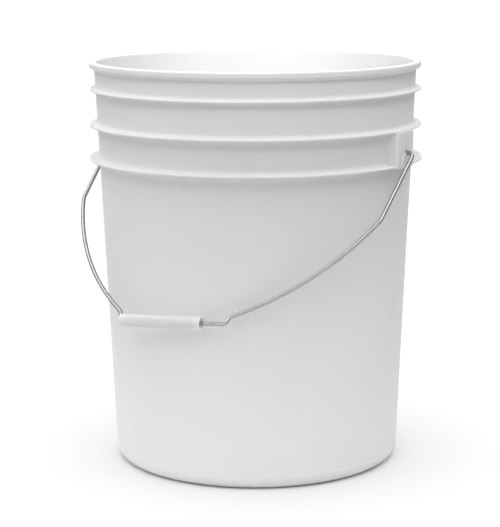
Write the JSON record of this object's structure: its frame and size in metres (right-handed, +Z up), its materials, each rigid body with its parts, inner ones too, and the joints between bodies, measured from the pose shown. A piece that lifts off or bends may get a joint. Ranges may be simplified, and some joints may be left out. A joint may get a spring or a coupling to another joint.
{
  "type": "plastic fermenting bucket",
  "caption": "Tapered round plastic pail with an open rimmed mouth, ring flanges, moulded ears and a swinging wire bail with a tube grip.",
  "frame": {"origin": "centre of the pail's axis on the ground that its foot ring stands on", "axes": "+Z up along the pail's axis; X through the two ears; the bail hangs on the -Y side"},
  "size_m": [0.3214, 0.306, 0.368],
  "materials": {
    "natural_plastic": "satin",
    "zinc_wire": "gloss",
    "grip_plastic": "satin"
  },
  "bodies": {
    "pail": {"pail": "natural_plastic"},
    "bail": {"bail_wire": "zinc_wire"},
    "grip": {"grip": "grip_plastic"}
  },
  "joints": [
    {"name": "bail_swing", "type": "hinge", "parent": "pail", "child": "bail", "pos_m": [0, 0, 0.2918], "axis": [-1, 0, 0], "range_deg": [0, 268.6]},
    {"name": "grip_spin", "type": "hinge", "parent": "bail", "child": "grip", "pos_m": [-0.01069, -0.14482, 0.14961], "axis": [0.996, 0.0634, 0.0623], "continuous": true}
  ]
}
